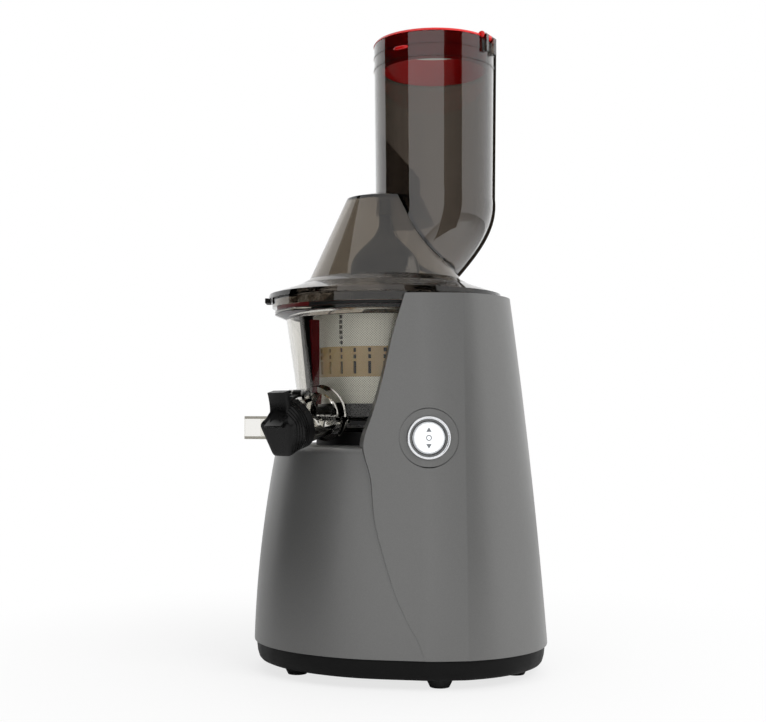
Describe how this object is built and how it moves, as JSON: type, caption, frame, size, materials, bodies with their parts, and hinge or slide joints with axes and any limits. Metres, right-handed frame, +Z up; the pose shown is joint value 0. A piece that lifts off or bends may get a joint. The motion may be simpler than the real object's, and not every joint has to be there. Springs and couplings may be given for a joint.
{
  "type": "cold press juicer",
  "caption": "Upright cold press juicer with a wide feed chute, clear bowl with strainer and wiper, lever juice cap, pulp spout and a tapered housing.",
  "frame": {"origin": "centre of the bounding box in plan, on the table under the feet", "axes": "+Z up along the bowl axis, the outlets face -Y, +X is the side with the switch"},
  "size_m": [0.205, 0.2122, 0.4549],
  "materials": {
    "graphite_paint": "satin charcoal lacquer with fine metallic flake over moulded plastic",
    "black_plastic": "matt black moulded plastic",
    "black_rubber": "matt black rubber",
    "zinc_steel": "zinc plated",
    "chrome_ring": "polished chrome",
    "white_button": "white translucent plastic, lit",
    "copper_winding": "enamelled copper wire",
    "bronze_bush": "sintered bronze",
    "circuit_board": "green solder resist",
    "clear_bowl": "clear copolyester, polished",
    "black_silicone": "black silicone",
    "steel_mesh": "etched stainless sheet with fine holes",
    "amber_resin": "amber polyetherimide, moulded",
    "red_silicone": "red silicone",
    "auger_resin": "dark grey glass-filled resin",
    "smoke_lid": "smoke-tinted copolyester",
    "red_ring": "bright red translucent plastic",
    "black_gloss": "satin black moulded plastic"
  },
  "bodies": {
    "base": {"housing": "graphite_paint", "base_tray": "black_plastic", "rubber_feet": "black_rubber", "tray_screws": "zinc_steel", "mains_inlet": "black_plastic", "inlet_pins": "zinc_steel", "switch_surround": "graphite_paint", "switch_ring": "chrome_ring", "switch_cell": "black_plastic", "motor_can": "zinc_steel", "motor_windings": "copper_winding", "gearbox": "black_plastic", "output_bearing": "bronze_bush", "control_board": "circuit_board", "bowl_seat": "black_plastic"},
    "switch": {"switch_button": "white_button"},
    "rotor": {"motor_rotor": "zinc_steel"},
    "drive": {"output_gear": "zinc_steel"},
    "drum": {"juicing_bowl": "clear_bowl", "pulp_spout": "clear_bowl", "rim_gasket": "red_silicone", "foot_gasket": "black_silicone", "pulp_plug": "black_silicone", "shaft_seal": "black_silicone", "strainer_frame": "black_plastic", "strainer_mesh": "steel_mesh", "strainer_band": "amber_resin", "cap_pin": "zinc_steel"},
    "wiper": {"wiper_frame": "black_plastic", "wiper_blades": "red_silicone"},
    "auger": {"auger": "auger_resin", "auger_shaft": "zinc_steel"},
    "lid": {"drum_lid": "smoke_lid", "lid_tab": "black_plastic", "feed_chute": "smoke_lid", "ring_pin": "zinc_steel"},
    "ring": {"feed_ring": "red_ring"},
    "cap": {"juice_cap": "black_gloss", "cap_seal": "black_silicone"}
  },
  "joints": [
    {"name": "motor_spin", "type": "hinge", "parent": "base", "child": "rotor", "pos_m": [0, -0.00685, 0], "axis": [0, 0, 1], "continuous": true},
    {"name": "drive_spin", "type": "hinge", "parent": "base", "child": "drive", "pos_m": [0, -0.00685, 0], "axis": [0, 0, 1], "continuous": true},
    {"name": "drum_lift", "type": "slide", "parent": "base", "child": "drum", "axis": [0, 0, 1], "range_m": [0, 0.12]},
    {"name": "auger_spin", "type": "hinge", "parent": "drum", "child": "auger", "pos_m": [0, -0.00685, 0], "axis": [0, 0, 1], "continuous": true},
    {"name": "wiper_spin", "type": "hinge", "parent": "drum", "child": "wiper", "pos_m": [0, -0.00685, 0], "axis": [0, 0, 1], "continuous": true},
    {"name": "lid_lift", "type": "slide", "parent": "drum", "child": "lid", "axis": [0, 0, 1], "range_m": [0, 0.12]},
    {"name": "ring_swing", "type": "hinge", "parent": "lid", "child": "ring", "pos_m": [0.02764, 0.06279, 0.4523], "axis": [-0.766, 0.6428, 0], "range_deg": [0, 100]},
    {"name": "cap_swing", "type": "hinge", "parent": "drum", "child": "cap", "pos_m": [0.04958, -0.0751, 0.1936], "axis": [-0.809, -0.5878, 0], "range_deg": [0, 80]},
    {"name": "switch_rock", "type": "hinge", "parent": "base", "child": "switch", "pos_m": [0.08698, 0.00697, 0.16387], "axis": [0.1822, 0.9833, 0], "range_deg": [-6, 6]}
  ],
  "couplings": [
    {"joint": "drive_spin", "follows": "motor_spin", "ratio": 0.04},
    {"joint": "auger_spin", "follows": "motor_spin", "ratio": 0.04},
    {"joint": "wiper_spin", "follows": "motor_spin", "ratio": -0.013333}
  ]
}
